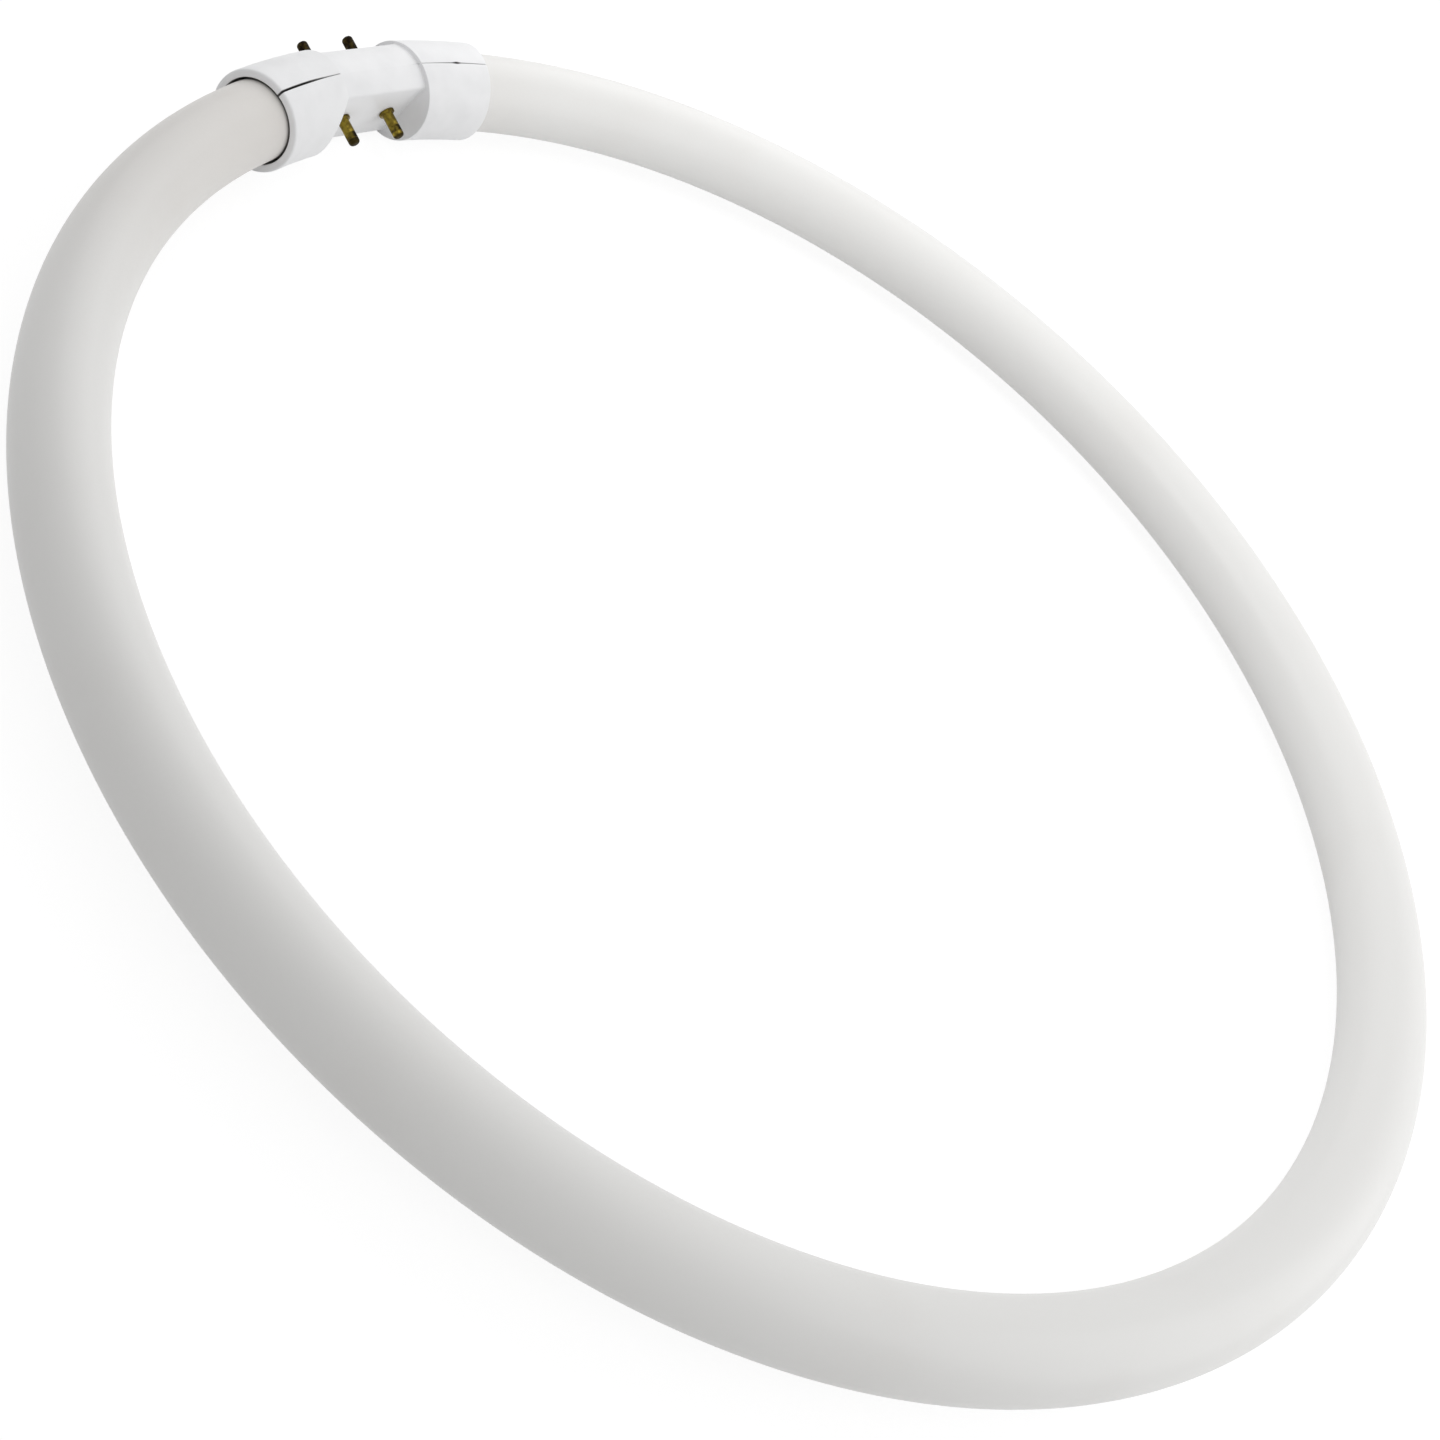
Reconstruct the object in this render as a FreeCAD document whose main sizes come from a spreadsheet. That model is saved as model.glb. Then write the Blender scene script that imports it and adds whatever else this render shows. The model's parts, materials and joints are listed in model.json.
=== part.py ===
"""Slim ring lamp: a circular sealed glass tube closed by one moulded base with two pairs of contact pins.

Millimetres. The origin is the ring's centre, +Z is the ring's axis and the base lies on the -X side.
The base is turned a little about the tube. Its own directions are "across", along the inner pins,
"along", the tube's direction at the middle of the base (+Y), and "up", square to both.
"""
import FreeCAD, Part
import Sketcher
import os

DRIVING_SIZES = {
    # glass ring
    "ring_radius": 141.75,        # centreline of the tube
    "tube_diameter": 16.5,
    "tube_end_round": 5.0,        # rounded shoulder at each sealed end
    "tube_end_clearance": 0.5,    # from a sealed end to the web of the base
    "stem_diameter": 4.8,
    "stem_length": 5.0,
    "stem_round": 0.8,
    # base
    "base_length": 61.2,          # along the tube's centreline
    "base_turn": 14.0,            # degrees about the tube
    "mouth_clearance": 0.5,       # between the glass and the collar at each mouth
    "mouth_depth": 7.0,
    "seat_clearance": 0.1,        # between the glass and the land that grips it
    "collar_wall": 1.6,
    "rim_round": 0.5,
    "edge_round": 0.8,            # where the waist meets its flats
    "seam_gap": 0.4,              # open joint between the two halves of a collar
    "waist_length": 23.4,
    "waist_step": 0.9,            # from the collar down to the waist
    "inner_flat_depth": 4.55,     # from the waist's crown down to the seats of the inner pins
    "outer_flat_depth": 2.45,     # and of the outer pins
    "shoulder_slope": 4.6,        # how far the near shoulder leans back beside the inner flat
    "flat_wall": 1.4,
    "web_thickness": 3.0,         # inner shoulder beyond each end of the waist
    # contact pins
    "pin_spacing": 13.0,
    "pin_diameter": 2.35,
    "pin_length": 6.3,            # from the flat to the tip
    "pin_round": 0.7,
    "pin_end_wall": 1.0,
    "pin_bore": 0.9,
    "flange_diameter": 3.4,
    "flange_thickness": 0.7,
    "shank_diameter": 1.9,
    "shank_clearance": 0.05,
    "shank_proud": 0.6,           # of the shank beyond the inside of the wall
    "crimp_from_tip": 1.9,
    "crimp_diameter": 1.4,        # round of the crimping jaws
    "crimp_depth": 0.35,
    # lead-in wires
    "lead_diameter": 0.5,
    "lead_spread": 2.0,           # between the two wires of a stem
    "lead_clearance": 0.15,       # from a stem's end to the wire
}

TOUCHING = 1e-4                   # distance at which a point counts as lying on a surface
INNER, OUTER = 1, -1
NEAR, FAR = -1, 1

# Sizes worked out from the driving ones, as formulas of the sheet
TUBE_RADIUS = "(sizes.tube_diameter / 2)"
MOUTH_RADIUS = f"({TUBE_RADIUS} + sizes.mouth_clearance)"
COLLAR_RADIUS = f"({MOUTH_RADIUS} + sizes.collar_wall)"
LAND_RADIUS = f"({TUBE_RADIUS} + sizes.seat_clearance)"
SKIN_MIDDLE = f"({MOUTH_RADIUS} + sizes.collar_wall / 2)"
WAIST_RADIUS = f"({COLLAR_RADIUS} - sizes.waist_step)"
WEB_RADIUS = f"({WAIST_RADIUS} + sizes.waist_step / 2)"
FLAT = {INNER: f"({WAIST_RADIUS} - sizes.inner_flat_depth)", OUTER: f"({WAIST_RADIUS} - sizes.outer_flat_depth)"}
CAVITY_RADIUS = f"({FLAT[INNER]} - sizes.flat_wall)"
WEB_LENGTH = "(sizes.waist_length + 2 * sizes.web_thickness)"
LAND_LENGTH = "(sizes.base_length - 2 * sizes.mouth_depth)"
TUBE_GAP = f"({WEB_LENGTH} + 2 * sizes.tube_end_clearance)"
STEM_GAP = f"({TUBE_GAP} - 2 * sizes.stem_length)"
CRIMP_HEIGHT = "(sizes.pin_length - sizes.crimp_from_tip)"
SHANK_LENGTH = {side: f"({flat} - {CAVITY_RADIUS} + sizes.shank_proud)" for side, flat in FLAT.items()}
PIN_PLACE = "(sizes.pin_spacing / 2)"


def make_sheet(doc):
    """The sheet of driving sizes, one aliased cell each."""
    sheet = doc.addObject("Spreadsheet::Sheet", "sizes")
    for row, (alias, value) in enumerate(DRIVING_SIZES.items(), start=1):
        sheet.set(f"A{row}", alias)
        sheet.set(f"B{row}", str(value))
        sheet.setAlias(f"B{row}", alias)
    doc.recompute()
    return sheet


def swept(length):
    """Formula for the angle in degrees that a length along the ring's centreline takes up."""
    return f"{length} / sizes.ring_radius * 180 / pi"


def origin_feature(body, role):
    """One of a body's own axes or planes."""
    return next(item for item in body.Origin.OriginFeatures if item.Role == role)


def new_sketch(body, name, role):
    """An empty sketch on one of the body's origin planes."""
    sketch = body.newObject("Sketcher::SketchObject", name)
    sketch.AttachmentSupport = [(origin_feature(body, role), "")]
    sketch.MapMode = "FlatFace"
    return sketch


def base_section_sketch(body, name):
    """A sketch square to the tube at the middle of the base, with its x axis across and its y axis up."""
    sketch = new_sketch(body, name, "XZ_Plane")
    sketch.AttachmentOffset = FreeCAD.Placement(
        FreeCAD.Vector(), FreeCAD.Rotation(FreeCAD.Vector(0, 0, -1), DRIVING_SIZES["base_turn"]))
    sketch.setExpression("AttachmentOffset.Base.x", "-sizes.ring_radius")
    sketch.setExpression("AttachmentOffset.Rotation.Angle", "sizes.base_turn")
    return sketch


def hold(sketch, geometry, end, direction, formula):
    """Hold one coordinate of a point, "DistanceX" or "DistanceY", at a formula's value."""
    value = float(sketch.evalExpression(formula))
    if value == 0:
        axis = {"DistanceX": -2, "DistanceY": -1}[direction]
        sketch.addConstraint(Sketcher.Constraint("PointOnObject", geometry, end, axis))
        return
    points = (-1, 1, geometry, end) if value > 0 else (geometry, end, -1, 1)
    index = sketch.addConstraint(Sketcher.Constraint(direction, *points, abs(value)))
    sketch.setExpression(f"Constraints[{index}]", formula if value > 0 else f"-({formula})")


def set_radius(sketch, geometry, formula):
    """Bind the radius of a circle or an arc."""
    index = sketch.addConstraint(Sketcher.Constraint("Radius", geometry, float(sketch.evalExpression(formula))))
    sketch.setExpression(f"Constraints[{index}]", formula)


def add_circle(sketch, radius, across="0", along="0"):
    """A circle with its centre held at two formulas."""
    centre = FreeCAD.Vector(sketch.evalExpression(across), sketch.evalExpression(along))
    circle = Part.Circle(centre, FreeCAD.Vector(0, 0, 1), float(sketch.evalExpression(radius)))
    geometry = sketch.addGeometry(circle)
    hold(sketch, geometry, 3, "DistanceX", across)
    hold(sketch, geometry, 3, "DistanceY", along)
    set_radius(sketch, geometry, radius)


def add_arc(sketch, radius, start, end, start_across, end_across):
    """An arc about the sketch's origin, counter-clockwise, whose ends are held across by formulas."""
    circle = Part.Circle(FreeCAD.Vector(), FreeCAD.Vector(0, 0, 1), float(sketch.evalExpression(radius)))
    first, last = (FreeCAD.Units.Quantity(f"{angle} deg").getValueAs("rad").Value for angle in (start, end))
    geometry = sketch.addGeometry(Part.ArcOfCircle(circle, first, last))
    sketch.addConstraint(Sketcher.Constraint("Coincident", geometry, 3, -1, 1))
    set_radius(sketch, geometry, radius)
    hold(sketch, geometry, 1, "DistanceX", start_across)
    hold(sketch, geometry, 2, "DistanceX", end_across)
    return geometry


def add_line(sketch, first, last):
    """A line from one end of a curve to an end of another, each given as (curve, end)."""
    ends = [sketch.getPoint(*point) for point in (first, last)]
    geometry = sketch.addGeometry(Part.LineSegment(*ends))
    for end, point in enumerate((first, last), start=1):
        sketch.addConstraint(Sketcher.Constraint("Coincident", geometry, end, *point))


def add_polygon(sketch, corners):
    """A closed outline through corners given as pairs of formulas."""
    points = [FreeCAD.Vector(sketch.evalExpression(x), sketch.evalExpression(y)) for x, y in corners]
    lines = [sketch.addGeometry(Part.LineSegment(a, b)) for a, b in zip(points, points[1:] + points[:1])]
    for line, following in zip(lines, lines[1:] + lines[:1]):
        sketch.addConstraint(Sketcher.Constraint("Coincident", line, 2, following, 1))
    for line, (x, y) in zip(lines, corners):
        hold(sketch, line, 1, "DistanceX", x)
        hold(sketch, line, 1, "DistanceY", y)


def revolve(body, sketch, angle):
    """Carry a section round the body's Z axis, as far to each side of the sketch."""
    feature = body.newObject("PartDesign::Revolution", sketch.Name + "_sweep")
    feature.Profile = sketch
    feature.ReferenceAxis = (origin_feature(body, "Z_Axis"), [""])
    feature.Midplane = True
    feature.setExpression("Angle", angle)
    body.Document.recompute()
    return feature


def cut(body, sketch, length=None, reverse=False):
    """Pocket a sketch, evenly to both sides over a length or through all on one side."""
    before = body.Shape.Volume
    feature = body.newObject("PartDesign::Pocket", sketch.Name + "_cut")
    feature.Profile = sketch
    if length:
        feature.SideType = "Symmetric"
        feature.setExpression("Length", length)
    else:
        feature.Type = "ThroughAll"
        feature.Reversed = reverse
    body.Document.recompute()
    if body.Shape.Volume >= before:
        raise RuntimeError(f"{sketch.Name} cuts nothing")


def circular_edges(shape, radius):
    """Names and edges of the shape's circles of one radius."""
    named = ((f"Edge{number}", edge) for number, edge in enumerate(shape.Edges, start=1))
    return [(name, edge) for name, edge in named
            if isinstance(edge.Curve, Part.Circle) and abs(edge.Curve.Radius - radius) < TOUCHING]


def dress_edges(body, kind, name, edges, size, formula):
    """Round or chamfer named edges of the body's last feature."""
    feature = body.newObject(f"PartDesign::{kind}", name)
    feature.Base = (body.Tip if body.Tip != feature else feature.BaseFeature, edges)
    feature.setExpression(size, formula)
    body.Document.recompute()


def make_glass_tube(doc):
    """The ring of tube, open at the base, with rounded sealed ends and a stem on each."""
    body = doc.addObject("PartDesign::Body", "glass_tube")
    tube = new_sketch(body, "tube_section", "XZ_Plane")
    add_circle(tube, TUBE_RADIUS, "sizes.ring_radius")
    revolve(body, tube, "360 - " + swept(TUBE_GAP))
    ends = circular_edges(body.Shape, tube.evalExpression(TUBE_RADIUS))
    dress_edges(body, "Fillet", "end_rounds", [name for name, _ in ends], "Radius", "sizes.tube_end_round")
    stem = new_sketch(body, "stem_section", "XZ_Plane")
    stem_radius = "sizes.stem_diameter / 2"
    add_circle(stem, stem_radius, "sizes.ring_radius")
    revolve(body, stem, "360 - " + swept(STEM_GAP))
    rims = circular_edges(body.Shape, stem.evalExpression(stem_radius))
    tips = sorted(rims, key=lambda rim: abs(rim[1].Curve.Center.y))[:2]
    dress_edges(body, "Fillet", "stem_rounds", [name for name, _ in tips], "Radius", "sizes.stem_round")
    return body


def half_ring(body, name, side, outer, inner, gap, length):
    """Half of a round wall, on one side of the seam, carried along the ring over a length."""
    sketch = base_section_sketch(body, name)
    start, end = (-90, 90) if side == INNER else (90, 270)
    across = f"{side} * {gap} / 2"
    arcs = [add_arc(sketch, radius, start, end, across, across) for radius in (outer, inner)]
    for point in (1, 2):
        add_line(sketch, (arcs[0], point), (arcs[1], point))
    revolve(body, sketch, swept(length))


def cut_waist(body, name):
    """Cut the middle down to a straight waist, round with a flat on each side for the pins."""
    sketch = base_section_sketch(body, name)
    add_circle(sketch, f"{COLLAR_RADIUS} + 2 * sizes.waist_step")
    crown = add_arc(sketch, WAIST_RADIUS, 60, 140, FLAT[INNER], f"-{FLAT[OUTER]}")
    keel = add_arc(sketch, WAIST_RADIUS, 220, 300, f"-{FLAT[OUTER]}", FLAT[INNER])
    add_line(sketch, (crown, 2), (keel, 1))
    add_line(sketch, (keel, 2), (crown, 1))
    cut(body, sketch, length="sizes.waist_length")


def slope_shoulder(body, name, side, end):
    """Lean the shoulder at one end of the waist back from the edge of the flat to the outside of the collar."""
    sketch = new_sketch(body, name, "XY_Plane")
    sketch.AttachmentOffset = FreeCAD.Placement(
        FreeCAD.Vector(), FreeCAD.Rotation(FreeCAD.Vector(0, 1, 0), DRIVING_SIZES["base_turn"]))
    sketch.setExpression("AttachmentOffset.Base.x", "-sizes.ring_radius")
    sketch.setExpression("AttachmentOffset.Rotation.Angle", "sizes.base_turn")
    outside = f"{side} * ({COLLAR_RADIUS} + sizes.waist_step)"
    foot = f"{end} * sizes.waist_length / 2"
    add_polygon(sketch, [(f"{side} * {FLAT[side]}", foot), (outside, foot),
                         (outside, f"{foot} + {end} * sizes.shoulder_slope")])
    cut(body, sketch, length=f"3 * {COLLAR_RADIUS}")


def flat_edges(body, side):
    """Names of the straight edges where the round of the waist meets its flat."""
    ring, flat, turn, length = (float(body.evalExpression(formula)) for formula in (
        "sizes.ring_radius", FLAT[side], "sizes.base_turn", "sizes.waist_length"))
    to_base = FreeCAD.Placement(
        FreeCAD.Vector(-ring, 0, 0), FreeCAD.Rotation(FreeCAD.Vector(0, 1, 0), turn)).inverse()
    names = []
    for number, edge in enumerate(body.Shape.Edges, start=1):
        depths = [abs(abs(to_base.multVec(point).x) - flat) for point in edge.discretize(3)]
        if max(depths) < TOUCHING and abs(edge.Length - length) < TOUCHING:
            names.append(f"Edge{number}")
    return names


def cut_pin_holes(body, name, side):
    """Two holes through the wall of the flat, square to it."""
    sketch = new_sketch(body, name, "YZ_Plane")
    sketch.AttachmentOffset = FreeCAD.Placement(
        FreeCAD.Vector(), FreeCAD.Rotation(FreeCAD.Vector(1, 0, 0), DRIVING_SIZES["base_turn"]))
    sketch.setExpression("AttachmentOffset.Base.z", "-sizes.ring_radius")
    sketch.setExpression("AttachmentOffset.Rotation.Angle", "sizes.base_turn")
    for end in (NEAR, FAR):
        add_circle(sketch, "sizes.shank_diameter / 2 + sizes.shank_clearance", f"{end} * {PIN_PLACE}")
    cut(body, sketch, reverse=side == INNER)


def make_shell(doc, label, side):
    """One half of the base: open collars, lands that grip the glass, and a waist that carries the pins."""
    body = doc.addObject("PartDesign::Body", label)
    half_ring(body, label + "_collar", side, COLLAR_RADIUS, MOUTH_RADIUS, "sizes.seam_gap", "sizes.base_length")
    half_ring(body, label + "_land", side, SKIN_MIDDLE, LAND_RADIUS, "0", LAND_LENGTH)
    half_ring(body, label + "_web", side, WEB_RADIUS, CAVITY_RADIUS, "0", WEB_LENGTH)
    rims = circular_edges(body.Shape, body.evalExpression(COLLAR_RADIUS))
    dress_edges(body, "Fillet", label + "_rims", [name for name, _ in rims], "Radius", "sizes.rim_round")
    cut_waist(body, label + "_waist")
    dress_edges(body, "Fillet", label + "_edges", flat_edges(body, side), "Radius", "sizes.edge_round")
    if side == INNER:
        slope_shoulder(body, label + "_shoulder", side, NEAR)
    cut_pin_holes(body, label + "_pin_holes", side)
    return body


def make_pin(doc, label, side, end):
    """A hollow pin with a flange on the flat, a shank through the wall, a round tip and a crimp."""
    body = doc.addObject("PartDesign::Body", label)
    profile = new_sketch(body, label + "_profile", "XZ_Plane")
    bore, shank, flange, pin = (f"sizes.{part} / 2" for part in
                                ("pin_bore", "shank_diameter", "flange_diameter", "pin_diameter"))
    inside = "sizes.pin_length - sizes.pin_end_wall"
    add_polygon(profile, [
        (bore, f"-{SHANK_LENGTH[side]}"), (shank, f"-{SHANK_LENGTH[side]}"), (shank, "0"), (flange, "0"),
        (flange, "sizes.flange_thickness"), (pin, "sizes.flange_thickness"), (pin, "sizes.pin_length"),
        ("0", "sizes.pin_length"), ("0", inside), (bore, inside)])
    revolve(body, profile, "360")
    rims = circular_edges(body.Shape, body.evalExpression(pin))
    tip = max(rims, key=lambda rim: rim[1].Curve.Center.z)
    dress_edges(body, "Fillet", label + "_tip", [tip[0]], "Radius", "sizes.pin_round")
    crimp = new_sketch(body, label + "_crimp", "YZ_Plane")
    reach = f"({pin} + sizes.crimp_diameter / 2 - sizes.crimp_depth)"
    for jaw in (NEAR, FAR):
        add_circle(crimp, "sizes.crimp_diameter / 2", f"{jaw} * {reach}", CRIMP_HEIGHT)
    cut(body, crimp, length="sizes.pin_diameter")
    body.Placement = FreeCAD.Placement(
        FreeCAD.Vector(), FreeCAD.Rotation(FreeCAD.Vector(0, side, 0), 90 + side * DRIVING_SIZES["base_turn"]))
    seat = f"{side} * {FLAT[side]}"
    body.setExpression("Placement.Base.x", f"-sizes.ring_radius + {seat} * cos(sizes.base_turn * 1 deg)")
    body.setExpression("Placement.Base.y", f"{end} * {PIN_PLACE}")
    body.setExpression("Placement.Base.z", f"-({seat}) * sin(sizes.base_turn * 1 deg)")
    body.setExpression("Placement.Rotation.Angle", f"90 + {side} * sizes.base_turn")
    return body


def make_lead(doc, label, side, end):
    """A wire from a stem's end, round one bend, into the bore of its pin as far as the crimp."""
    body = doc.addObject("PartDesign::Body", label)
    stem_across = f"({side} * sizes.lead_spread / 2)"
    stem_end = f"({STEM_GAP} / 2 - sizes.lead_clearance)"
    bend = f"(0.7 * ({stem_end} - {PIN_PLACE}))"
    route = new_sketch(body, label + "_route", "XY_Plane")
    start = (stem_across, f"{end} * {stem_end}")
    bend_start = (stem_across, f"{end} * ({PIN_PLACE} + {bend})")
    bend_end = (f"{stem_across} + {side} * {bend}", f"{end} * {PIN_PLACE}")
    finish = (f"{side} * ({FLAT[side]} + {CRIMP_HEIGHT})", f"{end} * {PIN_PLACE}")
    points = [FreeCAD.Vector(*(route.evalExpression(part) for part in pair))
              for pair in (start, bend_start, bend_end, finish)]
    centre = FreeCAD.Vector(points[2].x, points[1].y)
    radius = points[1].distanceToPoint(centre)
    middle = centre + ((points[1] + points[2]) / 2 - centre).normalize() * radius
    first = route.addGeometry(Part.LineSegment(points[0], points[1]))
    arc = route.addGeometry(Part.Arc(points[1], middle, points[2]))
    last = route.addGeometry(Part.LineSegment(points[2], points[3]))
    arc_ends = (1, 2)
    if route.getPoint(arc, 1).distanceToPoint(points[1]) > radius / 2:
        arc_ends = (2, 1)
    route.addConstraint(Sketcher.Constraint("Tangent", first, 2, arc, arc_ends[0]))
    route.addConstraint(Sketcher.Constraint("Tangent", arc, arc_ends[1], last, 1))
    for geometry, point, pair in ((first, 1, start), (last, 2, finish)):
        hold(route, geometry, point, "DistanceX", pair[0])
        hold(route, geometry, point, "DistanceY", pair[1])
    route.addConstraint(Sketcher.Constraint("Vertical", first))
    route.addConstraint(Sketcher.Constraint("Horizontal", last))
    set_radius(route, arc, bend)
    wire = new_sketch(body, label + "_section", "XZ_Plane")
    wire.setExpression("AttachmentOffset.Base.x", stem_across)
    wire.setExpression("AttachmentOffset.Base.z", f"-{end} * {stem_end}")
    add_circle(wire, "sizes.lead_diameter / 2")
    doc.recompute()
    pipe = body.newObject("PartDesign::AdditivePipe", label + "_pipe")
    pipe.Profile = wire
    pipe.Spine = (route, ["Edge1", "Edge2", "Edge3"])
    body.Placement = FreeCAD.Placement(
        FreeCAD.Vector(), FreeCAD.Rotation(FreeCAD.Vector(0, 1, 0), DRIVING_SIZES["base_turn"]))
    body.setExpression("Placement.Base.x", "-sizes.ring_radius")
    body.setExpression("Placement.Rotation.Angle", "sizes.base_turn")
    doc.recompute()
    return body


def check(doc, bodies):
    """Stop if any object failed or any piece isn't one valid solid."""
    for item in doc.Objects:
        if "Invalid" in item.State or "Error" in item.State:
            raise RuntimeError(f"{item.Label} failed: {item.State}")
    for body in bodies:
        if body.Shape.isNull() or not body.Shape.isValid() or len(body.Shape.Solids) != 1:
            raise RuntimeError(f"{body.Label} is not one valid solid")


def main():
    doc = FreeCAD.newDocument("ring_lamp")
    make_sheet(doc)
    bodies = [make_glass_tube(doc)]
    for place, side in (("inner", INNER), ("outer", OUTER)):
        bodies.append(make_shell(doc, f"base_{place}_shell", side))
        for position, end in (("near", NEAR), ("far", FAR)):
            bodies.append(make_pin(doc, f"{place}_pin_{position}", side, end))
            bodies.append(make_lead(doc, f"{place}_lead_{position}", side, end))
    doc.recompute()
    check(doc, bodies)
    os.makedirs("parts", exist_ok=True)
    for body in bodies:
        body.Shape.exportStep(f"parts/{body.Label}.step")
        print(f"{body.Label}: {body.Shape.Volume:.2f} mm3")


main()
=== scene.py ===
"""Looks of a slim ring lamp: a circular coated glass tube, its moulded base and its contact pins.

Metres, in the frame of the solids. The origin is the ring's centre, +Z is the ring's axis and the base
lies on the -X side. The base is turned a little about the tube. Its own directions are "across", the way
the inner pins point, "along", the tube's direction at the middle of the base (+Y), and "up", square to both.
"""
import json
import math

import bmesh
import bpy
import numpy as np
from bpy.props import FloatProperty, FloatVectorProperty, PointerProperty
from mathutils import Matrix, Vector


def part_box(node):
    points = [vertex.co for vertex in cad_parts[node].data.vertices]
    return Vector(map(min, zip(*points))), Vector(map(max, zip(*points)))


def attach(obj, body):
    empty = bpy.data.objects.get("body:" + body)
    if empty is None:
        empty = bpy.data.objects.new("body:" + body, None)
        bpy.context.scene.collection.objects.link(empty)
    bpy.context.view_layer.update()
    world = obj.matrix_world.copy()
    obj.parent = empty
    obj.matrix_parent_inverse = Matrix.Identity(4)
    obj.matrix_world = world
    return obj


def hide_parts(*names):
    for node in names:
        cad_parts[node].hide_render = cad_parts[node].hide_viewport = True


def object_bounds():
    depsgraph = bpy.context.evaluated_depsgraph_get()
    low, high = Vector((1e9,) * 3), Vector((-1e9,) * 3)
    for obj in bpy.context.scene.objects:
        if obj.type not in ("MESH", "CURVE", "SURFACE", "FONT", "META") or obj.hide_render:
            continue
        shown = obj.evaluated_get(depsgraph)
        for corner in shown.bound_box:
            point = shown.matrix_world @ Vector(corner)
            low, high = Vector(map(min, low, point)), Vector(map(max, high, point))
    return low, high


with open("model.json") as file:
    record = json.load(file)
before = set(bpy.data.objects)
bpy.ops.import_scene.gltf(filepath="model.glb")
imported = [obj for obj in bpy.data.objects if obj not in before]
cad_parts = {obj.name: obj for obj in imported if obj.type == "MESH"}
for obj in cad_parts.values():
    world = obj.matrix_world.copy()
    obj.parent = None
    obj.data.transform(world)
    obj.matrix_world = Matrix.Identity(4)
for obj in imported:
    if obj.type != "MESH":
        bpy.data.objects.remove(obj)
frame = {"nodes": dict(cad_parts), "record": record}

bl_info = {
    "name": "Ring lamp",
    "version": (1, 0, 0),
    "blender": (4, 5, 0),
    "location": "View3D > Sidebar > Ring lamp",
    "description": "Builds the glass ring, base, contact pins and stage of a slim circular lamp",
    "category": "Add Mesh",
}

CAD_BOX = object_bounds()
BODY = "root"
MM = 0.001
WELD = 1e-7                       # points closer than this are one point
FLUSH = 100 * WELD                # edges closer than this to the plane of the seam lie in it
INNER, OUTER = 1, -1              # sides of the base, in its direction across
NEAR, FAR = -1, 1                 # ends of the base, in its direction along
WHITE = (1.0, 1.0, 1.0, 1.0)

# Sizes read from the solids and their contacts
GLASS_LOW, GLASS_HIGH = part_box("glass_tube")
TUBE_RADIUS = (GLASS_HIGH.z - GLASS_LOW.z) / 2
RING_RADIUS = GLASS_HIGH.y - TUBE_RADIUS
COLLAR_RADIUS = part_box("base_outer_shell")[1].z
CONTACTS = {mount["name"]: mount for mount in frame["record"]["mounts"]}
INNER_CONTACT = CONTACTS["inner_far_contact"]
ACROSS = np.array(INNER_CONTACT["axis"])
ALONG = np.array([0.0, 1.0, 0.0])
UP = np.cross(ACROSS, ALONG)
BASE_TURN = math.atan2(-ACROSS[2], ACROSS[0])
PIN_PLACE = INNER_CONTACT["pos_m"][1]
PIN_RADIUS = INNER_CONTACT["dims"]["r_mm"] * MM
BASE_MIDDLE = np.array([-RING_RADIUS, 0.0, 0.0])

# Rows and columns of the grids
RING_ROWS, TUBE_SIDES = 360, 64              # along the full tube, and round it
END_STEPS, RIM_STEPS, PIN_STEPS = 8, 5, 6    # in the quarter rounds of a sealed end, a rim and a pin
FLAT_COLUMNS, ROUND_COLUMNS, WAIST_COLUMNS = 11, 8, 9    # over half a flat, its small round and the waist
COLLAR_ROWS, WAIST_ROWS = 12, 6              # along a collar, and along half the waist
SHANK_ROWS, BARREL_ROWS, PIN_SIDES = 5, 34, 40    # in a pin's bore and shank, along its barrel, and round it
FLOOR_ROWS, FLOOR_COLUMNS = 9, 65            # from the middle of the floor to its edge, and round it

# Soft edges of the base
BEVEL_SEGMENTS = 3
EDGE_LIMIT = math.radians(32)                # edges that turn by more than this are softened
SEAM_AT_STEP = 0.25                          # share of a seam's width that is left at the step

# Sockets of a Mix node that are colours
COLOUR_A, COLOUR_B, COLOUR_RESULT = 6, 7, 2

# Place, target and size of each soft lamp, in metres, and the range that the camera sees
LAMPS = {
    "left": ((-0.37, 0.27, 0.34), (0.0, 0.0, 0.0), 0.55),
    "right": ((0.55, 0.25, 0.3), (0.0, 0.0, 0.0), 0.7),
    "top": ((-0.15, 0.0, 0.35), (-0.05, 0.3, 0.3), 0.3),
}
CLIP_START, CLIP_END = 0.01, 50.0


def length(name, description, default):
    """A length that a user can change, in metres."""
    return FloatProperty(name=name, description=description, default=default, min=0.0,
                         subtype="DISTANCE", unit="LENGTH", precision=5)


def share(name, description, default):
    """A number from 0 to 1 that a user can change."""
    return FloatProperty(name=name, description=description, default=default, min=0.0, max=1.0,
                         subtype="FACTOR")


def angle(name, description, degrees):
    """An angle that a user can change."""
    return FloatProperty(name=name, description=description, default=math.radians(degrees),
                         subtype="ANGLE", unit="ROTATION")


def lamp_power(name, description, default):
    """Power of a lamp that a user can change, in watts."""
    return FloatProperty(name=name, description=description, default=default, min=0.0,
                         subtype="POWER", unit="POWER")


def colour(name, description, default):
    """A linear colour that a user can change."""
    return FloatVectorProperty(name=name, description=description, default=default, size=3,
                               min=0.0, max=1.0, subtype="COLOR")


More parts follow.
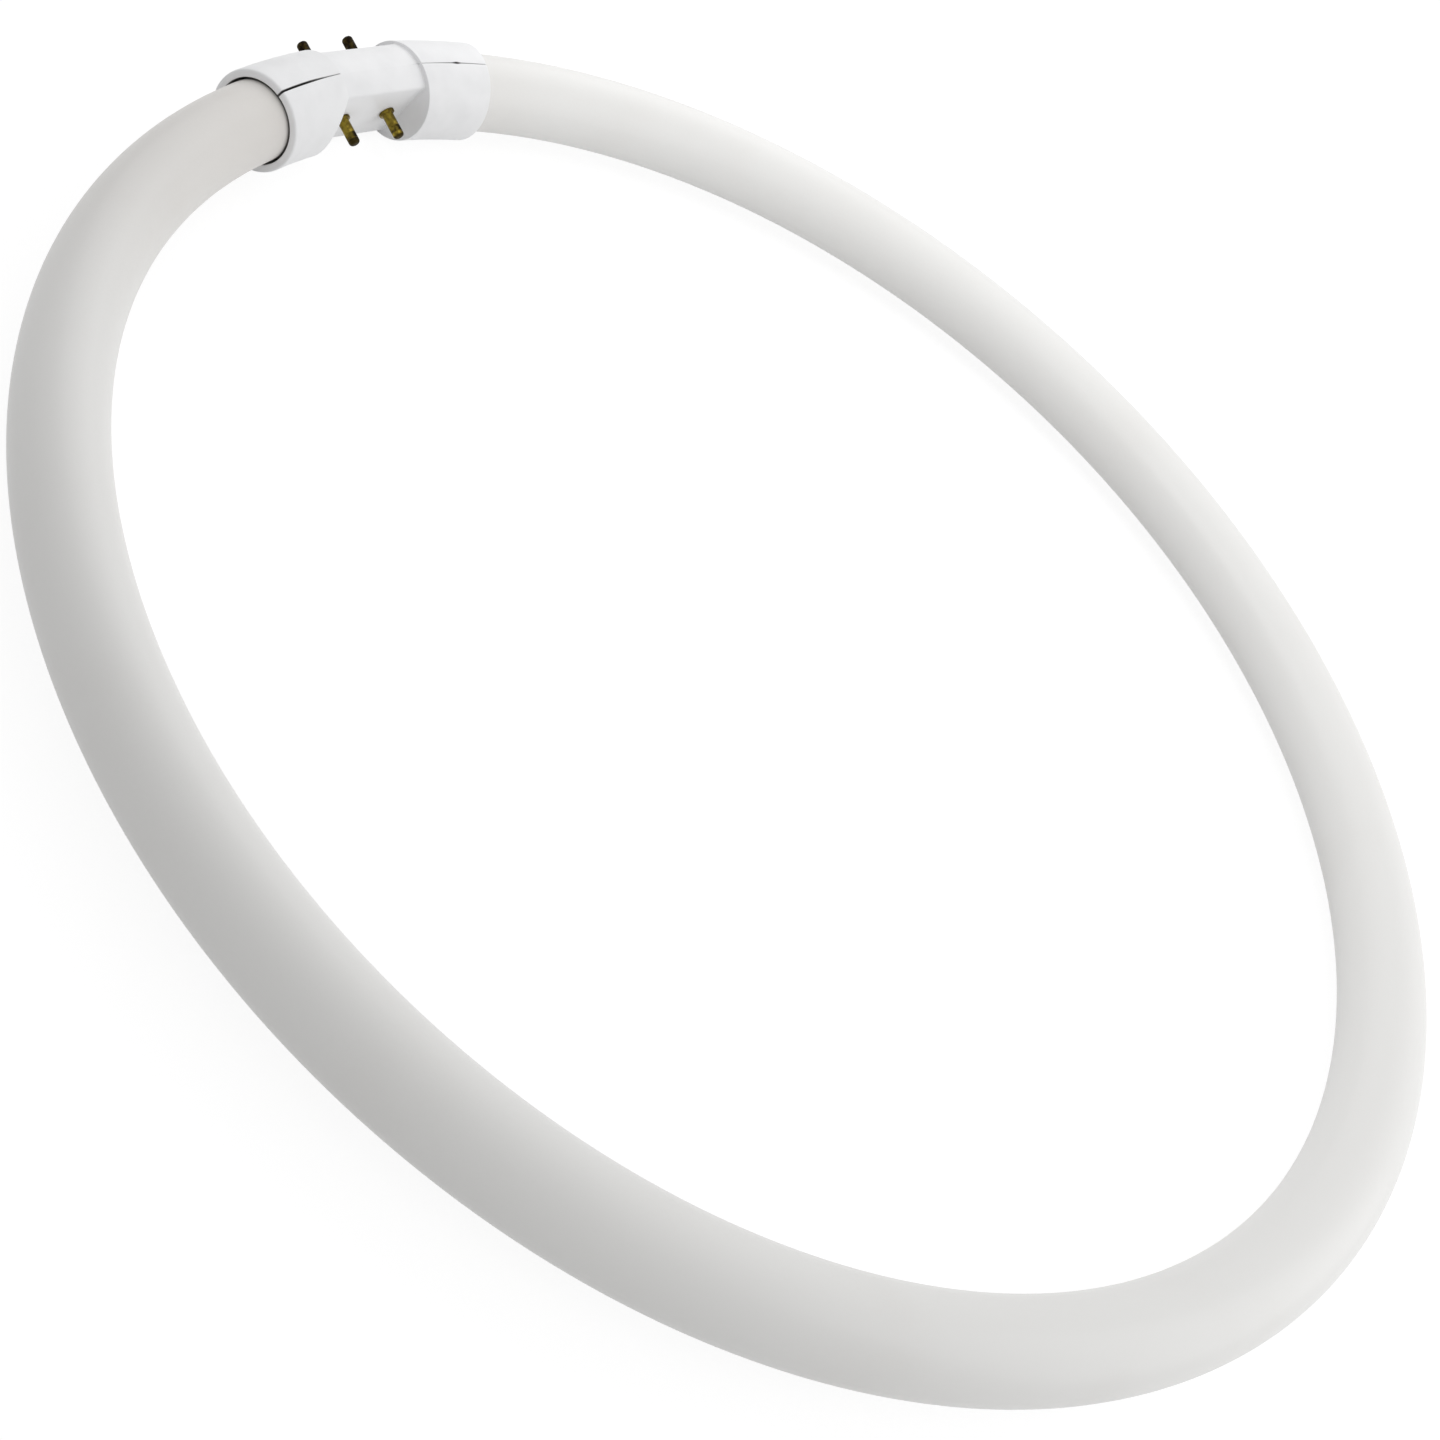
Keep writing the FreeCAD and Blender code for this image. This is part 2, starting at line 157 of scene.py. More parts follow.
class RingLampGlass(bpy.types.PropertyGroup):
    """Sizes and finish of the glass ring."""
    ring_radius: length("Ring radius", "Radius of the tube's centreline", RING_RADIUS)
    tube_radius: length("Tube radius", "Radius of the glass tube", TUBE_RADIUS)
    end_place: length("End place", "From the base's middle to a sealed end, along the centreline", 15.2 * MM)
    end_round: length("End round", "Rounded shoulder of a sealed end", 5 * MM)
    stem_radius: length("Stem radius", "Radius of the stem on a sealed end", 2.4 * MM)
    stem_length: length("Stem length", "From a sealed end to the stem's tip", 5 * MM)
    stem_round: length("Stem round", "Rounded tip of a stem", 0.8 * MM)
    coating: colour("Coating", "White powder coating seen through the glass", (0.86, 0.855, 0.84))
    # Painted shade: a dark colour on the glass inside the base, standing for the shade in the mouths, out to
    # a given reach.
    glass_shade: colour("Shade", "Cement on the glass inside the base", (0.3, 0.285, 0.27))
    glass_shade_reach: length("Cement reach", "From a sealed end to the edge of the cement", 15.2 * MM)
    # This colour also carries painted shade: the coating darkens towards it from the near end, on the near
    # side.
    thin_coating_and_shade: colour("Thin coating", "Coating where it is thinnest, near the ends", (0.7, 0.665, 0.63))
    gloss_roughness: share("Gloss roughness", "Roughness of the clear glass over the coating", 0.26)


class RingLampBase(bpy.types.PropertyGroup):
    """Sizes and finish of the moulded base."""
    half_length: length("Half length", "From the base's middle to a mouth, along the centreline", 30.6 * MM)
    collar_radius: length("Collar radius", "Outside radius of the collars", COLLAR_RADIUS)
    mouth_radius: length("Mouth radius", "Inside radius at a mouth", 8.75 * MM)
    mouth_depth: length("Mouth depth", "From a mouth to the land that grips the glass", 7 * MM)
    land_radius: length("Land radius", "Inside radius of the land that grips the glass", 8.35 * MM)
    rim_round: length("Rim round", "Rounded outer edge of a mouth", 0.5 * MM)
    edge_round: length("Edge round", "Soft edge of the steps", 0.28 * MM)
    flat_round: length("Flat round", "Round where the waist meets its flats", 0.8 * MM)
    near_seam: length("Near seam", "Open joint between the two halves at the near mouth", 0.4 * MM)
    far_seam: length("Far seam", "Open joint between the two halves at the far mouth", 0.14 * MM)
    waist_half_length: length("Waist half length", "From the base's middle to a collar's step", 11.7 * MM)
    waist_radius: length("Waist radius", "Radius of the waist between its flats", 9.45 * MM)
    inner_flat: length("Inner flat", "From the centreline to the flat under the inner pins", 4.9 * MM)
    outer_flat: length("Outer flat", "From the centreline to the flat under the outer pins", 7 * MM)
    shoulder_slope: length("Shoulder slope", "Lean of the near shoulder beside the inner flat", 4.6 * MM)
    web_half_length: length("Web half length", "From the base's middle to its inner wall", 14.7 * MM)
    cavity_radius: length("Cavity radius", "Radius of the hollow inside the waist", 3.5 * MM)
    plastic: colour("Plastic", "Moulded white plastic", (0.895, 0.897, 0.906))
    # Dirt and painted shade: dark colour of the open seam, and painted shade in the bores of the mouths.
    seam_dirt_and_shade: colour("Seam shade", "Dirt in the open part of the seam", (0.035, 0.032, 0.03))
    plastic_roughness: share("Plastic roughness", "Roughness of the moulded surface", 0.42)


class RingLampPins(bpy.types.PropertyGroup):
    """Sizes and finish of the contact pins and the wires that go into them."""
    pin_radius: length("Pin radius", "Radius of a pin", PIN_RADIUS)
    pin_length: length("Pin length", "From the flat to the tip", 6.3 * MM)
    tip_round: length("Tip round", "Rounded tip of a pin", 0.7 * MM)
    flange_radius: length("Flange radius", "Radius of the flange on the flat", 1.7 * MM)
    flange_thickness: length("Flange thickness", "Thickness of the flange on the flat", 0.7 * MM)
    flange_round: length("Flange round", "Rounded edges of the flange", 0.2 * MM)
    shank_radius: length("Shank radius", "Radius of the shank in the wall", 0.95 * MM)
    shank_proud: length("Shank proud", "How far the shank stands out inside the wall", 0.6 * MM)
    bore_radius: length("Bore radius", "Radius of the bore for the wire", 0.45 * MM)
    end_wall: length("End wall", "Closed end beyond the bore", 1 * MM)
    crimp_height: length("Crimp height", "From the flat to the middle of the crimp", 4.4 * MM)
    crimp_radius: length("Crimp radius", "Round of the crimping jaws", 0.7 * MM)
    crimp_depth: length("Crimp depth", "Depth of the crimp on each side", 0.35 * MM)
    brass: colour("Brass", "Bare brass of the pins", (0.28, 0.21, 0.03))
    # Tarnish, and painted shade on the far side of each pin.
    tarnish_and_shade: colour("Tarnish", "Dulled brass", (0.1, 0.07, 0.014))
    # Painted shade in the crimps; tarnish and painted dark reflection at the tips; painted shade and dark
    # reflection over the outer pins.
    dark_tarnish_and_shade: colour("Darkening", "Darkened metal in the crimp and at the tip", (0.012, 0.008, 0.005))
    wire: colour("Wire", "Nickel plating of the wires", (0.66, 0.64, 0.6))


class RingLampStage(bpy.types.PropertyGroup):
    """Camera, light and floor."""
    aim: FloatVectorProperty(name="Aim", description="Point the camera looks at", size=3,
                             default=(-0.02473, -0.0444, 0.0), subtype="XYZ", unit="LENGTH")
    distance: length("Distance", "From the aim point to the camera", 0.39175)
    azimuth: angle("Azimuth", "Camera's turn about the vertical, from looking along +Y", 20.57)
    elevation: angle("Elevation", "Camera's height above the horizon", 39.482)
    roll: angle("Roll", "Camera's turn about its own line of sight", 37.799)
    lens: FloatProperty(name="Lens", description="Focal length in millimetres", default=55.045, min=1.0)
    shift: FloatVectorProperty(name="Shift", description="Shift of the picture, in picture widths", size=2,
                               default=(0.1138, -0.1015))
    floor_radius: length("Floor radius", "Radius of the floor", 6.0)
    floor: colour("Floor", "Pale floor", (0.76, 0.76, 0.76))
    glow: share("Floor glow", "White that the floor adds where it is seen", 0.88)
    seen_tone: share("Seen tone", "Share of the floor's own colour where it is seen", 0.25)
    sky: FloatProperty(name="Sky", description="Even light from all round", default=0.55, min=0.0)
    left_power: lamp_power("Left lamp", "Power of the soft lamp behind the base", 0.8)
    right_power: lamp_power("Right lamp", "Power of the soft lamp across from the base", 1.75)
    top_power: lamp_power("Top lamp", "Power of the soft lamp above the base", 0.6)


class Field:
    """A value that varies over a surface: a node socket whose arithmetic adds Math nodes."""

    def __init__(self, finish, socket):
        self.finish = finish
        self.socket = socket

    def math(self, operation, *operands):
        return self.finish.node("ShaderNodeMath", {"operation": operation}, dict(enumerate(operands)))

    def __add__(self, other):
        return self.math("ADD", self, other)

    __radd__ = __add__

    def __sub__(self, other):
        return self.math("SUBTRACT", self, other)

    def __rsub__(self, other):
        return self.math("SUBTRACT", other, self)

    def __mul__(self, other):
        return self.math("MULTIPLY", self, other)

    __rmul__ = __mul__

    def __truediv__(self, other):
        return self.math("DIVIDE", self, other)

    def __rtruediv__(self, other):
        return self.math("DIVIDE", other, self)

    def __abs__(self):
        return self.math("ABSOLUTE", self)

    def larger(self, other):
        return self.math("MAXIMUM", self, other)

    def smaller(self, other):
        return self.math("MINIMUM", self, other)

    def root(self):
        return self.math("SQRT", self)

    def rise(self, low, high):
        """A smooth step: 0 below low, 1 above high."""
        return self.finish.node("ShaderNodeMapRange", {"interpolation_type": "SMOOTHSTEP"},
                                {"Value": self, "From Min": low, "From Max": high})

    def hump(self, middle, half_width):
        """1 at the middle, falling smoothly to 0 at half a width to each side."""
        return 1 - abs(self - middle).rise(0.0, half_width)


class Finish:
    """A node tree under construction, and the one way that nodes are added to it."""

    def __init__(self, owner):
        owner.use_nodes = True
        self.owner = owner
        self.tree = owner.node_tree
        self.tree.nodes.clear()

    def node(self, kind, settings=None, inputs=None, output=0):
        """Add a node: settings are set first, then each input gets its value or its link."""
        node = self.tree.nodes.new(kind)
        for name, value in (settings or {}).items():
            setattr(node, name, value)
        for key, value in (inputs or {}).items():
            if isinstance(value, Field):
                self.tree.links.new(value.socket, node.inputs[key])
            else:
                node.inputs[key].default_value = value
        return Field(self, node.outputs[output]) if node.outputs else None

    def place(self):
        """Object coordinates, which are the frame's own metres."""
        return self.node("ShaderNodeTexCoord", output="Object")

    def noise(self, place, size, detail=2.0, roughness=0.5):
        """Soft noise from 0 to 1 whose blotches are about a given size in metres."""
        return self.node("ShaderNodeTexNoise", {"noise_dimensions": "3D"},
                         {"Vector": place, "Scale": 1 / size, "Detail": detail, "Roughness": roughness})

    def stretched(self, place, scale):
        """Coordinates scaled along each axis."""
        return self.node("ShaderNodeMapping", {"vector_type": "POINT"}, {"Vector": place, "Scale": scale})

    def mix(self, first, second, factor):
        """A colour from the first to the second."""
        inputs = {"Factor": factor, COLOUR_A: opaque(first), COLOUR_B: opaque(second)}
        return self.node("ShaderNodeMix", {"data_type": "RGBA"}, inputs, output=COLOUR_RESULT)

    def measured(self, place, direction):
        """Distance along a direction from the middle of the base, in metres."""
        dot = self.node("ShaderNodeVectorMath", {"operation": "DOT_PRODUCT"},
                        {0: place, 1: direction.tolist()}, output="Value")
        return dot - float(BASE_MIDDLE @ direction)

    def parts(self, place):
        """The three coordinates of a place."""
        return [self.node("ShaderNodeSeparateXYZ", None, {0: place}, output=axis) for axis in "XYZ"]

    def attribute(self, name):
        """A number stored on the piece's points."""
        return self.node("ShaderNodeAttribute", {"attribute_name": name}, output="Fac")

    def bump(self, height, depth, strength=0.5):
        """A normal for a relief of a given depth in metres."""
        return self.node("ShaderNodeBump", None,
                         {"Height": height, "Distance": depth, "Strength": strength})

    def surface(self, inputs):
        """Finish the tree with one principled shader."""
        shader = self.node("ShaderNodeBsdfPrincipled", None, inputs)
        self.node("ShaderNodeOutputMaterial", None, {"Surface": shader})
        return self.owner

    def seen(self):
        """1 for rays that show a surface to the camera, straight or by a mirror or glass, else 0."""
        rays = [self.node("ShaderNodeLightPath", output=name)
                for name in ("Is Camera Ray", "Is Glossy Ray", "Is Transmission Ray")]
        return rays[0].larger(rays[1]).larger(rays[2])


def opaque(value):
    """A colour with its alpha, or a field as it is."""
    return value if isinstance(value, Field) else (*value, 1.0)


def toned(tone, factor):
    """A colour made darker or lighter by a factor."""
    return tuple(factor * part for part in tone)


def new_finish(name):
    """An empty material of a given name."""
    return Finish(bpy.data.materials.new(name))


GLASS_CLOUDS, GLASS_GRAIN = 28 * MM, 0.6 * MM     # sizes of the blotches in the powder
DRAWN_LINES = (4.0, 900.0, 1.0)                   # per metre, along and round the tube
DRAWN_DEPTH = 0.012 * MM
# Painted shade: the coating darkens from the near end of the glass, on the near side; the darkening of both
# ends is thinner coating.
NEAR_SHADE, NEAR_SHADE_REACH = 0.6, (10 * MM, 120 * MM)     # from the near end of the glass
END_WEAR, END_WEAR_REACH = 0.25, (0.0, 45 * MM)           # from both ends
NEAR_SIDE = (0.0, 10 * MM)                        # where the near side begins, in the direction along
CLOUD_WEAR, GRAIN_WEAR = 0.12, 0.1                # of the blotches, all over
# Painted shade: soft edge of the dark glass inside the base.
GLASS_SHADE_EDGE = 0.3 * MM
POWDER_ROUGHNESS, CLOUD_ROUGHNESS = 0.52, 0.08


def coated_glass(settings):
    """White powder under clear glass: slow clouds in the powder, faint drawn lines, thinner at the ends.

    The coating is darkened with painted shade for a stretch from the near end, on the near side, and the
    glass inside the base is painted dark as shade.
    """
    finish = new_finish("coated_glass")
    place = finish.place()
    clouds = finish.noise(place, GLASS_CLOUDS, detail=3)
    grain = finish.noise(place, GLASS_GRAIN, detail=3)
    from_end = finish.attribute("from_end")
    near_side = (0 - finish.parts(place)[1]).rise(*NEAR_SIDE)
    # Painted shade, darker towards the near end on the near side; the darkening of both ends and the blotches
    # belong to the coating.
    near_shade = (1 - from_end.rise(*NEAR_SHADE_REACH)) * near_side * NEAR_SHADE
    end_wear = (1 - from_end.rise(*END_WEAR_REACH)) * END_WEAR
    wear_and_shade = near_shade.larger(end_wear)
    thin_and_shade = wear_and_shade + clouds.rise(0.45, 0.8) * CLOUD_WEAR + (grain - 0.5) * GRAIN_WEAR
    # Painted shade: the glass inside the base is painted dark where it lies in the shade of the mouths.
    glass_shade = 1 - from_end.rise(settings.glass_shade_reach - GLASS_SHADE_EDGE, settings.glass_shade_reach)
    powder = finish.mix(settings.coating, settings.thin_coating_and_shade, thin_and_shade)
    tube_map = finish.node("ShaderNodeUVMap", {"uv_map": "tube_map"})
    drawn = finish.noise(finish.stretched(tube_map, DRAWN_LINES), 1.0, detail=2)
    return finish.surface({
        "Base Color": finish.mix(powder, settings.glass_shade, glass_shade),
        "Roughness": POWDER_ROUGHNESS + (clouds - 0.5) * CLOUD_ROUGHNESS,
        "Specular IOR Level": 0.2,
        "Coat Weight": 0.3,
        "Coat Roughness": settings.gloss_roughness,
        "Coat IOR": 1.5,
        "Normal": finish.bump(drawn, DRAWN_DEPTH),
    })


SPARK_SIZE, SPARK_DEPTH, SPARK_STRENGTH = 0.22 * MM, 0.006 * MM, 0.6
FLOW_SIZE, FLOW_TONE = 9 * MM, 0.95
BORE_REACH, BORE_EDGE, BORE_DARK = (22 * MM, 24 * MM), 0.1 * MM, 0.6     # shade in the mouths
# Dirt and painted shade along the seam: it is darkened wider than the open joint.
NEAR_DIRT_AND_SHADE = (13 * MM, 22 * MM)                    # where the dirt of the near seam begins and is full
FAR_DIRT_AND_SHADE, SPECK = (21.5 * MM, 8 * MM), (21.5 * MM, 1.6 * MM)     # middle and half width in the far seam
SEAM_WIDTH, NEAR_WIDTH, FAR_WIDTH, SPECK_WIDTH = 0.1 * MM, 0.24 * MM, 0.06 * MM, 0.2 * MM
SEAM_DARK, NEAR_DARK, FAR_DARK, SPECK_DARK = 0.25, 0.7, 0.35, 0.4
STEP_EDGE = 0.4 * MM
FLOW_ROUGHNESS, DIRT_ROUGHNESS = 0.12, 0.3


def base_plastic(settings):
    """Satin moulded plastic: fine spark texture, slow flow clouds, and dirt with painted shade where the seam
    is open.

    The seam of the collars is darkened, by dirt and painted shade, from the near mouth nearly to the step,
    and less so about the middle of the far collar, where it has one speck. The bores of the mouths are
    painted dark as shade.
    """
    finish = new_finish("base_plastic")
    place = finish.place()
    x, y, z = finish.parts(place)
    spark = finish.noise(place, SPARK_SIZE, detail=3, roughness=0.6)
    flow = finish.noise(place, FLOW_SIZE, detail=3)
    radial = (x * x + y * y).root() - RING_RADIUS
    from_centreline = (radial * radial + z * z).root()
    bore = 1 - from_centreline.rise(settings.mouth_radius, settings.mouth_radius + BORE_EDGE)
    # Painted shade: the bores of the mouths take the dark seam colour.
    mouth = abs(y).rise(*BORE_REACH) * bore * BORE_DARK
    across = abs(radial * math.cos(BASE_TURN) + z * math.sin(BASE_TURN))
    near = (0 - y).rise(*NEAR_DIRT_AND_SHADE)
    far = y.hump(*FAR_DIRT_AND_SHADE)
    speck = y.hump(*SPECK)
    half_width = SEAM_WIDTH + near * NEAR_WIDTH + far * FAR_WIDTH + speck * SPECK_WIDTH
    line = 1 - (across / half_width).rise(0.5, 1.0)
    on_collar = abs(y).rise(settings.waist_half_length, settings.waist_half_length + STEP_EDGE)
    # Dirt and painted shade: how dark the seam is painted, wider than its open joint.
    dirt_and_shade = SEAM_DARK + near * NEAR_DARK + far * FAR_DARK + speck * SPECK_DARK
    seam = line * on_collar * dirt_and_shade * (0.7 + flow * 0.6)
    white = finish.mix(settings.plastic, toned(settings.plastic, FLOW_TONE), flow.rise(0.4, 0.7))
    return finish.surface({
        "Base Color": finish.mix(white, settings.seam_dirt_and_shade, seam.larger(mouth).smaller(1.0)),
        "Roughness": settings.plastic_roughness + (flow - 0.5) * FLOW_ROUGHNESS + seam * DIRT_ROUGHNESS,
        "Specular IOR Level": 0.45,
        "Normal": finish.bump(spark, SPARK_DEPTH, SPARK_STRENGTH),
    })


BRASS_PATCHES, BRASS_STREAKS, BRASS_DEPTH = 0.9 * MM, 0.12 * MM, 0.008 * MM
RINGS_ROUND_PIN = (1.0, 0.2, 0.2)                 # streaks are five times longer round the pin
FLANGE_EDGE = (-0.1 * MM, 0.25 * MM)              # about the top of the flange
SIDE_EDGE = (0.0, 1 * MM)                         # between the sides and between the ends of the base
# Painted shade on the far side of each pin:
FAR_SIDE_SHADE = (-0.9 * MM, 0.2 * MM)                  # from a pin's axis, in the direction along
# Tarnish and painted dark reflection at the tips:
TIP_DARK, TIP_REACH = 0.85, (0.8 * MM, 0.3 * MM)            # below the tip
NEAR_TIP_DARK, NEAR_TIP_REACH = 0.9, (1.5 * MM, 1 * MM)     # below the tip of the near pins
# Painted shade in the crimp:
CRIMP_DARK, CRIMP_FAR_DARK = 0.45, 0.55           # all round the crimp, and more on its far side
PATCH_DULL, FLANGE_DULL, FAR_SIDE_SHADE_DULL = 0.7, 0.4, 0.2
BRASS_ROUGHNESS, DULL_ROUGHNESS, DARKENED_ROUGHNESS = 0.3, 0.18, 0.25


def pin_brass(settings, flats):
    """Drawn brass, dulled in patches, with painted shade in the crimp and tarnish with a painted dark
    reflection at the tip; fine rings round the pin.

    The crimp's painted shade is darkest on the far side of each pin, which is also dulled as painted shade,
    and the outer pins are painted dark all over as shade and dark reflection.
    """
    finish = new_finish("pin_brass")
    place = finish.place()
    across = finish.measured(place, ACROSS)
    height = (across - flats[INNER]).larger(0 - across - flats[OUTER])
    patches = finish.noise(place, BRASS_PATCHES, detail=4)
    streaks = finish.noise(finish.stretched(place, RINGS_ROUND_PIN), BRASS_STREAKS, detail=2)
    dent = height.hump(settings.crimp_height, 1.5 * settings.crimp_radius)
    flange = 1 - height.rise(*(settings.flange_thickness + edge for edge in FLANGE_EDGE))
    # Painted shade and dark reflection: the outer pins are darkened all over.
    outer = 1 - across.rise(*SIDE_EDGE)
    along = finish.parts(place)[1]
    near = (0 - along).rise(*SIDE_EDGE)
    # Painted shade on the far side of each pin.
    far_side_shade = (along - PIN_PLACE + near * (2 * PIN_PLACE)).rise(*FAR_SIDE_SHADE)
    patchy = patches.rise(0.35, 0.65) * PATCH_DULL
    dulling_and_shade = (patchy + flange * FLANGE_DULL + far_side_shade * FAR_SIDE_SHADE_DULL).smaller(1.0)
    # Painted shade in the crimp, darkest on the far side.
    crimp = dent.rise(0.1, 0.5) * (CRIMP_DARK + far_side_shade * CRIMP_FAR_DARK) * (0.8 + patches * 0.4)
    # Tarnish and painted dark reflection at the tips, longer on the near pins.
    tip = height.rise(*(settings.pin_length - reach for reach in TIP_REACH)) * TIP_DARK
    near_tip = height.rise(*(settings.pin_length - reach for reach in NEAR_TIP_REACH)) * near * NEAR_TIP_DARK
    blackening_and_shade = crimp.larger(tip).larger(near_tip).larger(outer * (0.75 + patches * 0.4)).smaller(1.0)
    worn_and_shaded = finish.mix(settings.brass, settings.tarnish_and_shade, dulling_and_shade)
    return finish.surface({
        "Base Color": finish.mix(worn_and_shaded, settings.dark_tarnish_and_shade, blackening_and_shade),
        "Metallic": 1.0,
        "Roughness": BRASS_ROUGHNESS + dulling_and_shade * DULL_ROUGHNESS + blackening_and_shade * DARKENED_ROUGHNESS,
        "Normal": finish.bump(streaks, BRASS_DEPTH),
    })


WIRE_PATCHES, WIRE_GRAIN, WIRE_DEPTH = 1.6 * MM, 0.1 * MM, 0.004 * MM
WIRE_DULL, WIRE_ROUGHNESS, PATCH_ROUGHNESS = 0.6, 0.3, 0.15


def lead_wire(settings):
    """Nickel-plated wire with a fine grain and faint discoloured patches."""
    finish = new_finish("lead_wire")
    place = finish.place()
    patches = finish.noise(place, WIRE_PATCHES, detail=3)
    grain = finish.noise(place, WIRE_GRAIN, detail=2)
    return finish.surface({
        "Base Color": finish.mix(settings.wire, toned(settings.wire, WIRE_DULL), patches.rise(0.45, 0.75)),
        "Metallic": 1.0,
        "Roughness": WIRE_ROUGHNESS + patches * PATCH_ROUGHNESS,
        "Normal": finish.bump(grain, WIRE_DEPTH),
    })


def grid_faces(rows, columns):
    """Corners of the quads of a grid stored row after row.

    They face the direction of the rows cross the direction of the columns.
    """
    row, column = np.meshgrid(np.arange(rows - 1), np.arange(columns - 1), indexing="ij")
    first = row * columns + column
    return np.stack([first, first + columns, first + columns + 1, first + 1], axis=-1).reshape(-1, 4)


def add_object(name, data):
    """A new object in the scene."""
    item = bpy.data.objects.new(name, data)
    bpy.context.scene.collection.objects.link(item)
    return item


def layer(items, name, width=1, kind=np.float64):
    """One property of a mesh's points, edges, corners or faces as an array with a row for each."""
    values = np.empty(len(items) * width, dtype=kind)
    items.foreach_get(name, values)
    return values.reshape(-1, width) if width > 1 else values


def new_piece(name, points, faces, material, nodes):
    """A mesh piece that rides on the part and stands for CAD nodes: welded, normals outward, smooth."""
    mesh = bpy.data.meshes.new(name)
    mesh.from_pydata(points.reshape(-1, 3).tolist(), [], faces.tolist())
    work = bmesh.new()
    work.from_mesh(mesh)
    bmesh.ops.remove_doubles(work, verts=work.verts, dist=WELD)
    bmesh.ops.dissolve_degenerate(work, edges=work.edges, dist=WELD)
    bmesh.ops.recalc_face_normals(work, faces=work.faces)
    work.to_mesh(mesh)
    work.free()
    mesh.shade_smooth()
    mesh.materials.append(material)
    piece = add_object(name, mesh)
    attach(piece, BODY)
    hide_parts(*nodes)
    return piece


def quarter(steps):
    """Angles of a quarter turn."""
    return np.linspace(0.0, math.pi / 2, steps)


def glass_outline(settings):
    """Half the tube's outline as distances from the middle of the base and radii.

    From the stem's tip: a quarter circle, the stem's side, the flat of the sealed end and the quarter
    circle of its shoulder, up to the full tube.
    """
    turn = quarter(END_STEPS)
    tip = settings.end_place - settings.stem_length
    stem_round, end_round = settings.stem_round, settings.end_round
    distance = np.concatenate([
        tip + stem_round * (1 - np.cos(turn)), [settings.end_place],
        settings.end_place + end_round * (1 - np.cos(turn))])
    radius = np.concatenate([
        settings.stem_radius - stem_round * (1 - np.sin(turn)), [settings.stem_radius],
        settings.tube_radius - end_round * (1 - np.sin(turn))])
    return np.append(tip, distance), np.append(0.0, radius)


def glass_ring_points(settings):
    """Grid of the glass ring.

    A circle whose radius follows the outline is carried round the ring: the point at distance s and turn t
    is (R + r(s) cos t) in the radial direction of the angle pi + s / R, and r(s) sin t along Z.
    """
    distance, radius = glass_outline(settings)
    whole = 2 * math.pi * settings.ring_radius
    between = np.linspace(distance[-1], whole - distance[-1], RING_ROWS)[1:-1]
    distance = np.concatenate([distance, between, whole - distance[::-1]])
    radius = np.concatenate([radius, np.full(between.size, settings.tube_radius), radius[::-1]])
    swing = math.pi + distance[:, None] / settings.ring_radius
    turn = np.linspace(0.0, 2 * math.pi, TUBE_SIDES + 1)[None, :]
    reach = settings.ring_radius + radius[:, None] * np.cos(turn)
    height = radius[:, None] * np.sin(turn)
    return np.stack([reach * np.cos(swing), reach * np.sin(swing), height], axis=-1)


class RINGLAMP_OT_glass_ring(bpy.types.Operator):
    """Build the coated glass ring with its sealed ends and stems"""
    bl_idname = "ring_lamp.glass_ring"
    bl_label = "Glass ring"

    def execute(self, context):
        settings = context.scene.ring_lamp_glass
        points = glass_ring_points(settings)
        faces = grid_faces(*points.shape[:2])
        material = coated_glass(settings)
        piece = new_piece("glass_ring", points, faces, material, ["glass_tube"])
        self.map_tube(piece.data, settings)
        return {"FINISHED"}

    def map_tube(self, mesh, settings):
        """Store each point's distance from the nearer end, and a map of metres along and round the tube."""
        x, y, z = layer(mesh.vertices, "co", 3).T
        along = settings.ring_radius * np.mod(np.arctan2(y, x) + math.pi, 2 * math.pi)
        whole = 2 * math.pi * settings.ring_radius
        from_end = np.minimum(along, whole - along) - settings.end_place
        stored = mesh.attributes.new("from_end", "FLOAT", "POINT")
        stored.data.foreach_set("value", from_end.astype(np.float32))
        around = settings.tube_radius * np.arctan2(z, np.hypot(x, y) - settings.ring_radius)
        corners = layer(mesh.loops, "vertex_index", kind=np.int32)
        tube_map = np.stack([along, np.abs(around)], axis=-1)[corners]
        stored = mesh.uv_layers.new(name="tube_map")
        stored.data.foreach_set("uv", tube_map.astype(np.float32).ravel())


def ring_place(swing, across, up):
    """Points of a section carried round the ring; swing turns them from the base's middle towards +Y."""
    reach = RING_RADIUS - across * math.cos(BASE_TURN) - up * math.sin(BASE_TURN)
    height = up * math.cos(BASE_TURN) - across * math.sin(BASE_TURN)
    return np.stack([-reach * np.cos(swing), reach * np.sin(swing), height + 0 * swing], axis=-1)


def straight_place(along, across, up):
    """Points of a section carried straight along the middle of the base."""
    return BASE_MIDDLE + along[..., None] * ALONG + across[..., None] * ACROSS + up[..., None] * UP


def base_flats(settings):
    """From the centreline to the flat of each side of the waist."""
    return {INNER: settings.inner_flat, OUTER: settings.outer_flat}


def flat_round_middle(settings, flat):
    """Across and up of the middle of the small round between a flat and the round of the waist."""
    across = flat - settings.flat_round
    return across, math.sqrt((settings.waist_radius - settings.flat_round) ** 2 - across ** 2)


def base_turns(settings, side):
    """Angles round the section from seam to seam, with columns where the flat's round begins and ends."""
    flat = base_flats(settings)[side]
    across, up = flat_round_middle(settings, flat)
    first, last = math.atan2(up, flat), math.atan2(up, across)
    turns = np.concatenate([np.linspace(0.0, first, FLAT_COLUMNS),
                            np.linspace(first, last, ROUND_COLUMNS)[1:],
                            np.linspace(last, math.pi / 2, WAIST_COLUMNS)[1:]])
    turns = np.concatenate([-turns[:0:-1], turns])
    return turns if side == INNER else turns + math.pi


